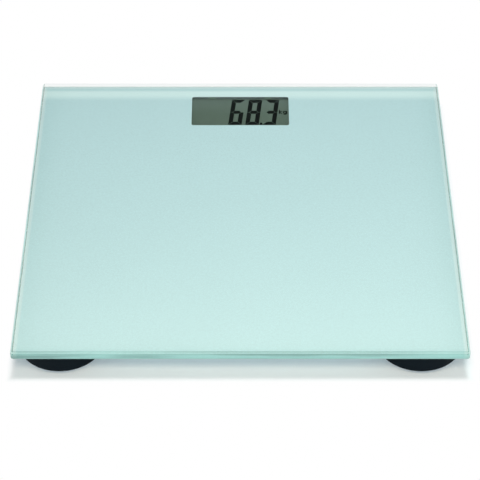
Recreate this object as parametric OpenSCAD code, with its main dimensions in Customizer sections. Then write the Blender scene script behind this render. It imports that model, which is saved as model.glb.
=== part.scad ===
// Digital body-weight scale: a glass platform on four load-cell feet, with a display unit under the glass.
// Millimetres, +Z up, floor at z = 0. The origin lies under the middle of the platform, the display is
// towards +Y and the user stands at -Y.

/* [Platform] */
// Width of the glass platform, side to side
platform_w = 285; // [270:1:345]
// Depth of the glass platform, front to back
platform_d = 280; // [230:1:340]
// Height of the weighing surface above the floor
total_h = 22; // [20:0.5:30]
// Thickness of the glass
glass_t = 6; // [4:0.5:8]
// Radius of the platform's corners
corner_r = 1.5; // [1.5:0.5:12]
// Ground chamfer along every edge of the glass
edge_chamfer = 1; // [0.3:0.1:1.5]
// Thickness of the coloured coat under the glass
coat_t = 0.1; // [0.05:0.05:0.3]
// Thickness of the bonding tapes
tape_t = 0.5; // [0.3:0.1:1]

/* [Display] */
// Width of the clear window in the coat
window_w = 69; // [50:1:83]
// Depth of the clear window in the coat
window_d = 33; // [26:1:40]
// From the window's back edge to the platform's back edge
window_back = 13.2; // [11:0.1:40]
// Radius of the window's corners
window_r = 1.5; // [0.5:0.1:4]
// Display glass beyond the window at each end
lcd_border = 4; // [3:0.5:8]
// Ledge of the front display plate that carries the contacts
lcd_ledge = 3; // [2.5:0.1:5]
// Thickness of each of the two display plates
lcd_plate_t = 1.1; // [0.7:0.1:1.5]

/* [Housing] */
// Wall of the display frame
housing_wall = 1.8; // [1.2:0.1:2.5]
// Outer corner radius of the housing
housing_r = 6; // [4.5:0.5:10]
// Top plate of the display frame
frame_top_t = 1.6; // [1:0.1:3]
// Thickness of the housing cover and of the battery door
cover_t = 1.8; // [1.6:0.1:3]
// Thickness of the circuit board
board_t = 1.2; // [0.8:0.1:1.6]
// Diameter of the unit button
button_d = 8; // [6:0.5:12]
// Travel of the unit button
button_travel = 0.5; // [0.3:0.05:0.8]

/* [Battery] */
// Diameter of the coin cell
coin_d = 20; // [16:0.5:24.5]
// Height of the coin cell
coin_h = 3.2; // [1.6:0.1:4]

/* [Feet] */
// Side of the square load cell
cell_w = 34; // [28:0.5:41]
// Thickness of the load cell's steel
cell_t = 2; // [1.5:0.1:3]
// Room between the load cell's corners and the seat's wall
cell_room = 3.1; // [2.8:0.1:6]
// Wall of the foot seat
seat_wall = 2; // [1.5:0.1:3]
// From the platform's edge to the rim of a foot seat
foot_inset = 1.8; // [1:0.1:10]
// Height of the seat's lower rim above the floor
rim_h = 3.5; // [2.5:0.1:5]
// Upward travel of a foot at full load
foot_travel = 0.5; // [0.2:0.05:0.8]
// Thickness of the foot's plate
foot_plate_t = 3; // [2:0.1:4]
// How far the rubber pad stands below the foot
pad_proud = 1.2; // [0.8:0.1:2]

/* [Wires] */
// Diameter of a load cell wire
wire_d = 1.1; // [0.8:0.05:1.4]
// Radius of a wire's bends
wire_bend_r = 4; // [3:0.1:5]

/* [Hidden] */
$fn = 72;
// Overlap of joined shapes, and how far a cut runs past what it cuts
eps = 0.01;
over = 1;

// Corner name, sides in x and y, and the turn that points the wires of its load cell
CORNERS = [
    ["front_left", -1, -1, 0],
    ["front_right", 1, -1, 0],
    ["rear_left", -1, 1, -90],
    ["rear_right", 1, 1, 180]
];
// Wire name and lane: -1, 0 and 1 run from left to right as the wires leave a foot
WIRES = [
    ["red_leads", -1, "firebrick"],
    ["white_leads", 0, "whitesmoke"],
    ["black_leads", 1, "dimgray"]
];
FOOT_NODES = ["foot_tape", "foot_seat", "load_cell", "strain_gauge", "foot", "foot_pad"];

// Clearances
slip = 0.2;
run_gap = 0.3;
screw_gap = 0.1;

// Heights of the stack under the glass
half_w = platform_w / 2;
half_d = platform_d / 2;
glass_z = total_h - glass_t;
coat_z = glass_z - coat_t;
bond_z = coat_z - tape_t;

// Foot seat, load cell and foot
cell_r = 4;
cell_bar = 5.5;
tongue_w = 10;
tongue_pad_r = 6.5;
gauge_w = 8;
gauge_l = 6;
gauge_t = 1;
seat_roof_t = 2.4;
rail_w = 4.5;
rail_l = cell_w - 2 * cell_r;
rail_h = 2;
guide_t = 1.5;
guide_l = 16;
guide_lip = 1;
guide_lip_t = 0.5;
stop_w = 8;
lip_w = 0.9;
lip_t = 1.6;
rim_round = 1.5;
cell_reach = sqrt(2) * (cell_w / 2 - cell_r) + cell_r;
seat_ir = cell_reach + cell_room;
seat_r = seat_ir + seat_wall;
lip_ir = seat_ir - lip_w;
lip_top = rim_h + lip_t;
foot_x = half_w - foot_inset - seat_r;
foot_y = half_d - foot_inset - seat_r;
roof_z = bond_z - seat_roof_t;
cell_top = roof_z - rail_h;
cell_bot = cell_top - cell_t;
guide_bot = cell_bot - slip / 2 - guide_lip_t;
gauge_end = cell_w / 2 - cell_bar;
tape_edge = 1.5;
foot_tape_hole_r = 10;

foot_gap = 0.4;
foot_r = lip_ir - foot_gap;
foot_bot = pad_proud;
foot_top = foot_bot + foot_plate_t;
foot_round = 1;
boss_d = 9;
skirt_in = 1.6;
skirt_t = 1.2;
skirt_r = foot_r - skirt_in;
skirt_top = guide_bot - foot_travel - slip;
rib_t = 1.4;
rib_h = 2;
rib_top = min(foot_top + rib_h, skirt_top);
rib_n = 6;
hook_n = 3;
hook_turn = 24;
hook_t = 0.8;
hook_grip = 0.5;
hook_z = lip_top + foot_gap;
pad_margin = 2.2;
pad_sink = 0.5;
pad_r = foot_r - pad_margin;
pad_groove_w = 1.4;
pad_groove_t = 0.6;
pad_groove_n = 3;
pad_groove_step = 5;

// Display and board, measured from the window's middle
unit_y = half_d - window_back - window_d / 2;
sill = 0.6;
lcd_seal = 1.5;
lcd_film_t = 0.2;
lcd_film_end = 2;
lcd_film_edge = 0.5;
locator_t = 1.2;
lcd_w = window_w + 2 * lcd_border;
lcd_d = window_d + 2 * (lcd_ledge + lcd_seal);
locator_hw = lcd_w / 2 + slip + locator_t;
locator_hd = lcd_d / 2 + slip + locator_t;
lcd_top = bond_z - frame_top_t;
strip_top = lcd_top - lcd_plate_t;
film_top = strip_top - lcd_plate_t;
film_bot = film_top - lcd_film_t;
strip_w = 2;
strip_end = 4;
board_room = 1.4;
board_top = film_bot - board_room;
board_bot = board_top - board_t;
board_margin = 0.6;
board_gap = 1.2;
spacer_w = 5;
spacer_x = 20;
spacer_t = 1.2;
chip_x = -12;
chip_r = 6;
chip_t = 1.3;

// Unit button and its switch
flange_t = 0.6;
flange_w = 1.2;
switch_w = 4.5;
switch_t = 1.2;
switch_roof = 0.2;
plunger_d = 2;
plunger_l = 1;
plunger_gap = 0.1;
stop_gap = 0.1;
under_room = flange_t + button_travel + stop_gap + switch_t;
switch_bot = board_bot - switch_t;
cover_in = board_bot - under_room;
cover_out = cover_in - cover_t;
dish_t = 0.4;

// Battery bay, measured from the coin cell's middle
coin_gap = 0.3;
cushion_t = 0.5;
cushion_d = 12;
pocket_ir = coin_d / 2 + coin_gap;
pocket_or = pocket_ir + locator_t;
contact_room = 0.9;
contact_land = 4.4;
contact_t = 0.3;
contact_w = 4;
contact_y = 1.5;
contact_gap = 0.05;
contact_tip = 3;
contact_fold = 1.5;
contact_foot = 1;
bay_x = locator_hw + contact_land + board_gap + pocket_or;
coin_bot = cover_in + cushion_t;
coin_top = coin_bot + coin_h;
coin_cap_t = 0.3;
coin_cap_in = 1.2;
coin_edge = 0.4;
coin_crimp = 0.3;
pocket_roof = coin_top + contact_room;
pocket_foot = cover_in + slip;
slot_room = 1.5;
slot_hw = contact_y + contact_w + slot_room;
land_gap = 0.5;
land_l = 3;
land_in = pocket_or + board_gap + land_gap;
land_out = land_in + land_l;

// Battery door: barrel along its front edge, trunnions in lugs on the cover
door_edge = 2.5;
door_hd = pocket_or + door_edge;
door_side = 1.5;
door_hw = pocket_or + door_side;
barrel_r = cover_t / 2 + 1;
hinge_z = cover_out + barrel_r;
trunnion_r = 0.8;
trunnion_l = 1.8;
trunnion_gap = 0.05;
lug_t = 1.7;
lug_w = 4.4;
lug_wall = 0.8;
ledge_w = 16;
ledge_t = 0.8;
ledge_in = 1;
ledge_wall = 1.2;
grip_n = 3;
grip_w = 10;
grip_t = 0.4;
grip_step = 1.8;
grip_rib = 0.8;
grip_edge = 2.5;
finger_r = 5;
finger_t = 0.9;

// Fasteners and outline of the housing
cover_boss_d = 5.5;
cover_screw_d = 2;
cover_head_d = 4.2;
cover_head_t = 0.9;
cover_screw_l = 5;
screw_edge = 6;
board_boss_d = 5;
board_screw_d = 1.6;
board_head_d = 3.6;
board_head_t = 1.2;
board_screw_l = 3;
recess_w = 0.5;
recess_t = 0.5;
recess_share = 0.6;
cover_screw_out = 0.5;
cover_screw_x = bay_x + pocket_or + cover_screw_out;
housing_hw = cover_screw_x + screw_edge;
// Half depths that the screen and the battery door's lugs ask for
boss_gap = 0.2;
screen_hd = locator_hd + board_margin + board_gap + housing_wall;
lugs_hd = door_hd + lug_w / 2 + boss_gap + cover_boss_d / 2 + screw_edge;
housing_hd = max(screen_hd, lugs_hd);
board_hd = housing_hd - housing_wall - board_gap;
cover_screw_y = housing_hd - screw_edge;
// Board ends and screws along x: from the button's middle on the left, from the coin cell's on the right
board_end_left = 8;
board_end_right = 5;
board_screw_left = 7;
board_screw_right = 10;
board_screw_edge = 4;
board_left = -bay_x - board_end_left;
board_right = bay_x - board_end_right;
board_screw_xs = [board_screw_left - bay_x, bay_x - board_screw_right];
board_screw_y = board_hd - board_screw_edge;
cover_lip_t = 1;
cover_lip_h = 1.2;

// Wires: heights, lanes in front of the housing and entries into its front wall
wire_gap = 0.4;
wire_clear = 0.1;
wire_out = 1;
wire_pitch = wire_d + wire_gap;
bundle_w = 2 * wire_pitch + wire_d;
wire_in_z = cell_top + wire_d / 2 + wire_clear;
wire_run_z = coat_z - wire_d / 2 - wire_clear;
wire_board_z = board_top + wire_d / 2;
notch_room = 0.5;
notch_w = bundle_w + 2 * notch_room;
notch_h = wire_d + 2 * notch_room;
rise_l = 6;
drop_l = 7;
drop_gap = 1.5;
lane_room = 1.8;
lane_gap = 2.8;
housing_front = unit_y - housing_hd;
drop_end = housing_front - drop_gap;
drop_start = drop_end - drop_l;
rear_rise_end = foot_y - seat_r - wire_out - rise_l;
lane_near = min(drop_start, rear_rise_end) - wire_bend_r - wire_pitch - lane_room;
lane_far = lane_near - bundle_w - lane_gap;
entry_off = 11;
entry_wall = 0.8;
entry_step = notch_w + entry_wall;
entry_rear_right = -locator_hw - entry_off;
entry_front_right = entry_rear_right - entry_step;
entry_front_left = entry_front_right - entry_step;
solder_in = 1.2;
solder_y = unit_y - board_hd + solder_in;
solder_x = board_left + solder_in;
side_drop_start = housing_wall + wire_out - housing_hw;
side_drop_end = board_left - notch_room;
wire_sides = 8;
wire_step_angle = 24;
clip_l = 6;
clip_wall = 1.2;
clip_floor = 0.8;

// Shared shapes
module rounded_rect(w, d, r) {
    square([w - 2 * r, d], center = true);
    square([w, d - 2 * r], center = true);
    for (x = [-1, 1], y = [-1, 1]) translate([x * (w / 2 - r), y * (d / 2 - r)]) circle(r);
}

// What a rounding of radius a takes off the lower outer corner of a profile at (r, z)
module round_cut(r, z, a) {
    translate([r - a, z + a]) difference() {
        translate([0, -a - eps]) square(a + eps);
        circle(a);
    }
}

module slab(z0, z1) {
    translate([0, 0, z0]) linear_extrude(z1 - z0) children();
}

module post(d, z0, z1) {
    translate([0, 0, z0]) cylinder(d = d, h = z1 - z0);
}

module block(x0, x1, y0, y1, z0, z1) {
    translate([x0, y0, z0]) cube([x1 - x0, y1 - y0, z1 - z0]);
}

module at_corner(corner) {
    translate([corner[1] * foot_x, corner[2] * foot_y, 0]) rotate(corner[3]) children();
}

module at_unit() {
    translate([0, unit_y, 0]) children();
}

module at_bay() {
    translate([bay_x, unit_y, 0]) children();
}

module at_button() {
    translate([-bay_x, unit_y, 0]) children();
}

module at_cover_screws() {
    for (x = [-1, 1], y = [-1, 1]) translate([x * cover_screw_x, y * cover_screw_y, 0]) children();
}

module at_board_screws() {
    for (x = board_screw_xs, y = [-1, 1]) translate([x, y * board_screw_y, 0]) children();
}

// Screw with its head's outer face at z = 0 and its shank upwards
module screw(d, head_d, head_t, l) {
    difference() {
        union() {
            cylinder(d = head_d, h = head_t);
            cylinder(d = d, h = head_t + l);
        }
        for (a = [0, 90]) rotate(a) translate([-head_d * recess_share / 2, -recess_w / 2, -eps])
            cube([head_d * recess_share, recess_w, recess_t + eps]);
    }
}

// Platform
module chamfered_section(w) {
    c = edge_chamfer;
    h = w / 2;
    polygon([
        [c - h, glass_z], [h - c, glass_z], [h, glass_z + c], [h, total_h - c],
        [h - c, total_h], [c - h, total_h], [-h, total_h - c], [-h, glass_z + c]
    ]);
}

module glass_platform() {
    color("paleturquoise") intersection() {
        slab(glass_z, total_h) rounded_rect(platform_w, platform_d, corner_r);
        rotate([90, 0, 90]) linear_extrude(platform_w, center = true) chamfered_section(platform_d);
        rotate([90, 0, 0]) linear_extrude(platform_d, center = true) chamfered_section(platform_w);
    }
}

module back_coat() {
    color("lightcyan") slab(coat_z, glass_z) difference() {
        rounded_rect(platform_w - 2 * edge_chamfer, platform_d - 2 * edge_chamfer, corner_r);
        translate([0, unit_y]) rounded_rect(window_w, window_d, window_r);
    }
}

// Feet, drawn about their own axis with the wires of the load cell towards +Y
module foot_tape(corner) {
    color("white") at_corner(corner) slab(bond_z, coat_z) difference() {
        circle(seat_r - tape_edge);
        circle(foot_tape_hole_r);
    }
}

module seat_profile() {
    difference() {
        translate([0, rim_h]) square([seat_r, bond_z - rim_h]);
        translate([0, lip_top]) square([seat_ir, roof_z - lip_top]);
        translate([0, rim_h - eps]) square([lip_ir, lip_t + 2 * eps]);
        round_cut(seat_r, rim_h, rim_round);
    }
}

module foot_seat(corner) {
    edge = cell_w / 2;
    color("#20242a") at_corner(corner) difference() {
        union() {
            rotate_extrude() seat_profile();
            for (side = [0, 1]) mirror([side, 0, 0]) {
                block(edge - rail_w, edge, -rail_l / 2, rail_l / 2, cell_top, roof_z);
                block(edge + run_gap, edge + run_gap + guide_t, -guide_l / 2, guide_l / 2, guide_bot, roof_z);
                block(edge - guide_lip, edge + run_gap, -guide_l / 2, guide_l / 2,
                    guide_bot, guide_bot + guide_lip_t);
            }
            block(-stop_w / 2, stop_w / 2, -edge - run_gap - guide_t, -edge - run_gap, guide_bot, roof_z);
        }
        block(-notch_w / 2, notch_w / 2, seat_ir - over, seat_r + over,
            wire_in_z - notch_h / 2, wire_in_z + notch_h / 2);
    }
}

module load_cell(corner) {
    color("silver") at_corner(corner) slab(cell_bot, cell_top) {
        difference() {
            rounded_rect(cell_w, cell_w, cell_r);
            square(cell_w - 2 * cell_bar, center = true);
        }
        translate([-tongue_w / 2, 0]) square([tongue_w, cell_w / 2 - cell_bar / 2]);
        circle(tongue_pad_r);
    }
}

module strain_gauge(corner) {
    color("ivory") at_corner(corner)
        block(-gauge_w / 2, gauge_w / 2, gauge_end - gauge_l, gauge_end, cell_top, cell_top + gauge_t);
}

module foot_profile() {
    difference() {
        translate([0, foot_bot]) square([foot_r, foot_plate_t]);
        translate([-eps, foot_bot - eps]) square([pad_r + screw_gap + eps, pad_sink + eps]);
        round_cut(foot_r, foot_bot, foot_round);
    }
    translate([skirt_r - skirt_t, foot_top - eps]) square([skirt_t, skirt_top - foot_top + eps]);
}

module hook_profile() {
    tip = lip_ir + hook_grip;
    top = hook_z + hook_t;
    polygon([
        [skirt_r - eps, foot_top - eps], [foot_r, foot_top - eps], [foot_r, hook_z],
        [tip, hook_z], [foot_r, top], [skirt_r - eps, top]
    ]);
}

module foot(corner) {
    color("#2a2e34") at_corner(corner) {
        rotate_extrude() foot_profile();
        post(boss_d, foot_top - eps, cell_bot);
        for (i = [0:rib_n - 1]) rotate(i * 360 / rib_n)
            block(0, skirt_r - skirt_t / 2, -rib_t / 2, rib_t / 2, foot_top - eps, rib_top);
        for (i = [0:hook_n - 1]) rotate(90 / hook_n + i * 360 / hook_n - hook_turn / 2)
            rotate_extrude(angle = hook_turn) hook_profile();
    }
}

module foot_pad(corner) {
    color("#15171a") at_corner(corner) difference() {
        post(2 * pad_r, 0, foot_bot + pad_sink);
        for (i = [1:pad_groove_n]) difference() {
            post(2 * (i * pad_groove_step + pad_groove_w / 2), -eps, pad_groove_t);
            post(2 * (i * pad_groove_step - pad_groove_w / 2), -2 * eps, pad_groove_t + eps);
        }
    }
}

// Display unit
module housing_tape() {
    color("white") at_unit() slab(bond_z, coat_z) difference() {
        rounded_rect(2 * (housing_hw - tape_edge), 2 * (housing_hd - tape_edge), housing_r - tape_edge);
        rounded_rect(window_w + 2 * sill, window_d + 2 * sill, window_r);
    }
}

module wire_entries() {
    z0 = board_top - slip;
    z1 = board_top + wire_d + slip;
    y0 = housing_front - over;
    y1 = housing_front + housing_wall + over;
    for (x = [entry_front_left, entry_front_right, entry_rear_right])
        block(x - notch_w / 2, x + notch_w / 2, y0, y1, z0, z1);
    block(-housing_hw - over, over + housing_wall - housing_hw, foot_y - notch_w / 2, foot_y + notch_w / 2,
        wire_in_z - notch_h / 2, wire_in_z + notch_h / 2);
}

module battery_pocket() {
    difference() {
        post(2 * pocket_or, pocket_foot, lcd_top + eps);
        post(2 * pocket_ir, pocket_foot - over, pocket_roof);
        block(-pocket_or - over, 0, -slot_hw, slot_hw, pocket_foot - over, pocket_roof);
    }
}

module display_frame() {
    wall_in = housing_r - housing_wall;
    color("#3a3f45") difference() {
        union() {
            at_unit() difference() {
                slab(cover_in, bond_z) rounded_rect(2 * housing_hw, 2 * housing_hd, housing_r);
                slab(cover_in - over, lcd_top)
                    rounded_rect(2 * (housing_hw - housing_wall), 2 * (housing_hd - housing_wall), wall_in);
            }
            at_unit() slab(board_top, lcd_top + eps) difference() {
                square(2 * [locator_hw, locator_hd], center = true);
                square(2 * [locator_hw - locator_t, locator_hd - locator_t], center = true);
            }
            at_unit() at_cover_screws() post(cover_boss_d, cover_in, lcd_top + eps);
            at_unit() at_board_screws() post(board_boss_d, board_top, lcd_top + eps);
            at_bay() battery_pocket();
        }
        at_unit() slab(lcd_top - over, bond_z + over)
            rounded_rect(window_w + 2 * sill, window_d + 2 * sill, window_r);
        at_unit() at_cover_screws()
            post(cover_screw_d + 2 * screw_gap, cover_in - over, cover_in + cover_screw_l);
        at_unit() at_board_screws() post(board_screw_d + 2 * screw_gap, board_top - over, lcd_top);
        wire_entries();
    }
}

module window_pads() {
    back = window_d / 2 + sill;
    color("lightgray") at_unit() for (side = [-1, 1])
        block(side * spacer_x - spacer_w / 2, side * spacer_x + spacer_w / 2,
            back - sill, back, bond_z - spacer_t, bond_z);
}

module lcd_front_plate() {
    color("darkseagreen") at_unit() slab(strip_top, lcd_top) square([lcd_w, lcd_d], center = true);
}

module lcd_rear_plate() {
    color("darkseagreen") at_unit() slab(film_top, strip_top)
        square([lcd_w, lcd_d - 2 * lcd_ledge], center = true);
}

module lcd_reflector() {
    color("silver") at_unit() slab(film_bot, film_top)
        square([lcd_w - 2 * lcd_film_end, lcd_d - 2 * (lcd_ledge + lcd_film_edge)], center = true);
}

module contact_strips() {
    mid = (lcd_d - lcd_ledge) / 2;
    hw = lcd_w / 2 - strip_end;
    color("lightpink") at_unit() for (side = [-1, 1])
        block(-hw, hw, side * mid - strip_w / 2, side * mid + strip_w / 2, board_top, strip_top);
}

module circuit_board() {
    color("seagreen") at_unit() slab(board_bot, board_top) difference() {
        translate([board_left, -board_hd]) square([board_right - board_left, 2 * board_hd]);
        translate([bay_x, 0]) circle(pocket_or + board_gap);
        at_board_screws() circle(d = board_screw_d + 2 * slip);
    }
}

module controller_chip() {
    ball_r = (chip_r * chip_r + chip_t * chip_t) / (2 * chip_t);
    color("black") at_unit() translate([chip_x, 0, board_bot]) rotate_extrude() intersection() {
        translate([0, ball_r - chip_t]) circle(ball_r, $fn = 360);
        translate([0, -chip_t]) square([chip_r, chip_t]);
    }
}

// Small parts on the board's underside: x, y, length, width and height of each
module board_components() {
    chips = [
        [2, 8, 3.2, 1.6, 0.9], [2, 4, 3.2, 1.6, 0.9], [8, -6, 2, 1.2, 0.7], [8, -9, 2, 1.2, 0.7],
        [14, 6, 6, 2.4, 1.6], [22, -4, 4, 4, 1.2], [28, 6, 3.2, 1.6, 0.9], [-26, 6, 2, 1.2, 0.7]
    ];
    color("tan") at_unit() for (c = chips) translate([c[0], c[1], 0])
        block(-c[2] / 2, c[2] / 2, -c[3] / 2, c[3] / 2, board_bot - c[4], board_bot);
}

module board_screws() {
    color("silver") at_unit() at_board_screws() translate([0, 0, board_bot - board_head_t])
        screw(board_screw_d, board_head_d, board_head_t, board_screw_l);
}

module tact_switch() {
    color("dimgray") at_button() difference() {
        block(-switch_w / 2, switch_w / 2, -switch_w / 2, switch_w / 2, switch_bot, board_bot);
        post(plunger_d + 2 * plunger_gap, switch_bot - over, board_bot - switch_roof);
    }
}

module switch_plunger() {
    base = cover_in + flange_t;
    color("black") at_button() post(plunger_d, base, base + plunger_l);
}

module unit_button() {
    ball_r = (button_d * button_d / 4 + dish_t * dish_t) / (2 * dish_t);
    color("lightslategray") at_button() difference() {
        union() {
            post(button_d, cover_out, cover_in + eps);
            post(button_d + 2 * flange_w, cover_in, cover_in + flange_t);
        }
        translate([0, 0, cover_out + dish_t - ball_r]) sphere(ball_r);
    }
}

// Battery bay
module coin_cell() {
    r = coin_d / 2;
    cap_r = r - coin_cap_in;
    shoulder = coin_top - coin_cap_t;
    color("silver") at_bay() rotate_extrude() polygon([
        [0, coin_bot], [r - coin_edge, coin_bot], [r, coin_bot + coin_edge], [r, shoulder - coin_crimp],
        [r - coin_crimp, shoulder], [cap_r, shoulder], [cap_r - coin_crimp, coin_top], [0, coin_top]
    ]);
}

module contact_plus() {
    leaf_x = -sqrt(pow(coin_d / 2, 2) - pow(contact_y, 2)) - contact_gap;
    t = contact_t;
    color("gold") at_bay() translate([0, contact_y, 0]) {
        block(leaf_x - t, leaf_x, 0, contact_w, coin_bot + coin_edge, board_top + t);
        block(-land_out, leaf_x, 0, contact_w, board_top, board_top + t);
    }
}

module contact_minus() {
    t = contact_t;
    zb = board_top;
    zr = pocket_roof;
    zc = coin_top;
    tip = contact_tip;
    color("gold") at_bay() translate([0, -contact_y, 0]) rotate([90, 0, 0]) linear_extrude(contact_w)
        polygon([
            [-land_out, zb], [-land_in + t, zb], [-land_in + t, zr - t], [tip - contact_fold, zr - t],
            [-tip, zc + t], [-tip, zc], [contact_foot - tip, zc], [tip, zr - t], [tip, zr],
            [-land_in, zr], [-land_in, zb + t], [-land_out, zb + t]
        ]);
}

module housing_cover() {
    lip_hw = housing_hw - housing_wall - slip;
    lip_hd = housing_hd - housing_wall - slip;
    lip_r = housing_r - housing_wall - slip;
    open_front = -door_hd - barrel_r - run_gap;
    open_back = door_hd + run_gap;
    open_hw = door_hw + run_gap;
    lug_top = hinge_z + trunnion_r + trunnion_gap + lug_wall;
    color("#3a3f45") difference() {
        union() {
            at_unit() slab(cover_out, cover_in) rounded_rect(2 * housing_hw, 2 * housing_hd, housing_r);
            at_unit() slab(cover_in - eps, cover_in + cover_lip_h) difference() {
                rounded_rect(2 * lip_hw, 2 * lip_hd, lip_r);
                rounded_rect(2 * (lip_hw - cover_lip_t), 2 * (lip_hd - cover_lip_t), lip_r - cover_lip_t);
            }
            at_bay() for (side = [0, 1]) mirror([side, 0, 0])
                block(open_hw, open_hw + lug_t, -door_hd - lug_w / 2, -door_hd + lug_w / 2,
                    cover_in - eps, lug_top);
            at_bay() block(-ledge_w / 2, ledge_w / 2, open_back, open_back + ledge_wall,
                cover_in - eps, cover_in + screw_gap + ledge_t);
            at_bay() block(-ledge_w / 2, ledge_w / 2, open_back - run_gap - ledge_in, open_back + eps,
                cover_in + screw_gap, cover_in + screw_gap + ledge_t);
        }
        at_bay() block(-open_hw, open_hw, open_front, open_back, cover_out - over, cover_in);
        at_bay() translate([0, -door_hd, hinge_z]) rotate([0, 90, 0])
            cylinder(r = trunnion_r + trunnion_gap, h = 2 * (open_hw + lug_t + over), center = true);
        at_bay() translate([0, open_back, 0]) post(2 * finger_r, cover_out - over, cover_out + finger_t);
        at_button() post(button_d + 2 * slip, cover_out - over, cover_in + over);
        at_unit() at_cover_screws() post(cover_head_d + 2 * slip, cover_out - over, cover_out + cover_head_t);
        at_unit() at_cover_screws() post(cover_screw_d + 2 * slip, cover_out - over, cover_in + over);
    }
}

module cover_screws() {
    color("silver") at_unit() at_cover_screws() translate([0, 0, cover_out])
        screw(cover_screw_d, cover_head_d, cover_head_t, cover_screw_l);
}

module battery_door() {
    color("#3a3f45") at_bay() {
        block(-door_hw, door_hw, -door_hd, door_hd, cover_out, cover_in);
        translate([0, -door_hd, hinge_z]) rotate([0, 90, 0]) {
            cylinder(r = barrel_r, h = 2 * door_hw, center = true);
            cylinder(r = trunnion_r, h = 2 * (door_hw + trunnion_l), center = true);
        }
        for (i = [0:grip_n - 1]) translate([0, door_hd - grip_edge - i * grip_step, 0])
            block(-grip_w / 2, grip_w / 2, -grip_rib / 2, grip_rib / 2, cover_out - grip_t, cover_out + eps);
    }
}

module door_cushion() {
    color("gray") at_bay() post(cushion_d, cover_in, coin_bot);
}

// Leads: a tube swept along a route whose corners are rounded. No run of a route is upright, so each
// ring takes its sideways direction from the level plane.
function unit(v) = v / norm(v);
function turn_angle(u, v) = acos(max(-1, min(1, u * v)));

// Places and directions along the bend at b on the way from a to c
function bend(a, b, c) =
    let (
        u = unit(b - a),
        v = unit(c - b),
        angle = turn_angle(u, v),
        inward = unit(v - (u * v) * u),
        start = b - u * wire_bend_r * tan(angle / 2),
        steps = ceil(angle / wire_step_angle)
    )
    [for (i = [0:steps]) let (t = i * angle / steps) [
        start + wire_bend_r * (u * sin(t) + inward * (1 - cos(t))),
        u * cos(t) + inward * sin(t)
    ]];

function wire_places(route) =
    let (last = len(route) - 1)
    concat(
        [[route[0], unit(route[1] - route[0])]],
        [for (i = [1:last - 1]) each bend(route[i - 1], route[i], route[i + 1])],
        [[route[last], unit(route[last] - route[last - 1])]]
    );

function wire_ring(place) =
    let (
        across = unit(cross([0, 0, 1], place[1])),
        up = cross(place[1], across)
    )
    [for (i = [0:wire_sides - 1]) let (t = (i + 0.5) * 360 / wire_sides)
        place[0] + wire_d / 2 * (across * cos(t) + up * sin(t))];

module wire(route) {
    rings = [for (place = wire_places(route)) wire_ring(place)];
    last = len(rings) - 1;
    n = wire_sides;
    walls = [for (k = [0:last - 1], i = [0:n - 1]) let (a = k * n + i, b = k * n + (i + 1) % n)
        each [[a, a + n, b], [b, a + n, b + n]]];
    near_cap = [for (i = [1:n - 2]) [0, i, i + 1]];
    far_cap = [for (i = [1:n - 2]) [last * n, last * n + i + 1, last * n + i]];
    polyhedron([for (ring = rings) each ring], concat(walls, near_cap, far_cap));
}

// The end of a route: along a lane's turn, down to the board and onto it
function entry(x, s) = [
    [x + s, drop_start, wire_run_z],
    [x + s, drop_end, wire_board_z],
    [x + s, solder_y, wire_board_z]
];

// The start of a front foot's route, up to its lane at y
function front_start(x, y) = [
    [x, gauge_end - foot_y, wire_in_z],
    [x, seat_r + wire_out - foot_y, wire_in_z],
    [x, seat_r + wire_out + rise_l - foot_y, wire_run_z],
    [x, y, wire_run_z]
];

// Routes of one wire of each foot, s to the right of the bundle's middle
function front_left_route(s) = concat(
    front_start(s - foot_x, lane_far - s),
    [[entry_front_left + s, lane_far - s, wire_run_z]],
    entry(entry_front_left, s)
);
function front_right_route(s) = concat(
    front_start(s + foot_x, lane_far + s),
    [[entry_front_right + s, lane_far + s, wire_run_z]],
    entry(entry_front_right, s)
);
function rear_left_route(s) = [
    [gauge_end - foot_x, foot_y - s, wire_in_z],
    [side_drop_start, foot_y - s, wire_in_z],
    [side_drop_end, foot_y - s, wire_board_z],
    [solder_x, foot_y - s, wire_board_z]
];
function rear_right_route(s) = concat(
    [
        [foot_x - s, foot_y - gauge_end, wire_in_z],
        [foot_x - s, foot_y - seat_r - wire_out, wire_in_z],
        [foot_x - s, rear_rise_end, wire_run_z],
        [foot_x - s, lane_near + s, wire_run_z],
        [entry_rear_right + s, lane_near + s, wire_run_z]
    ],
    entry(entry_rear_right, s)
);

module leads(kind) {
    s = kind[1] * wire_pitch;
    color(kind[2]) {
        wire(front_left_route(s));
        wire(front_right_route(s));
        wire(rear_left_route(s));
        wire(rear_right_route(s));
    }
}

// Clip over three wires that run along its own Y
module clip() {
    hw = wire_pitch + wire_d / 2 + clip_wall;
    bore = wire_d + 2 * wire_clear;
    difference() {
        block(-hw, hw, -clip_l / 2, clip_l / 2, wire_run_z - bore / 2 - clip_floor, coat_z);
        for (i = [-1, 0, 1]) translate([i * wire_pitch, 0, wire_run_z]) {
            rotate([90, 0, 0]) cylinder(d = bore, h = clip_l + 2 * over, center = true);
            block(-bore / 2, bore / 2, -clip_l / 2 - over, clip_l / 2 + over, 0, coat_z - wire_run_z + over);
        }
    }
}

// Clips on a lane along X at y, at shares of its length from x0 to x1
module lane_clips(x0, x1, y, shares) {
    for (share = shares) translate([x0 + share * (x1 - x0), y, 0]) rotate(90) clip();
}

module wire_clips() {
    run_start = seat_r + wire_out + rise_l - foot_y;
    run_l = lane_far - wire_bend_r - run_start;
    color("white") {
        for (side = [-1, 1], share = [0.12, 0.5, 0.88])
            translate([side * foot_x, run_start + share * run_l, 0]) clip();
        lane_clips(-foot_x, entry_front_left, lane_far, [0.5]);
        lane_clips(foot_x, entry_front_right, lane_far, [0.2, 0.5, 0.8]);
        lane_clips(foot_x, entry_rear_right, lane_near, [0.3, 0.65]);
    }
}

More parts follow.
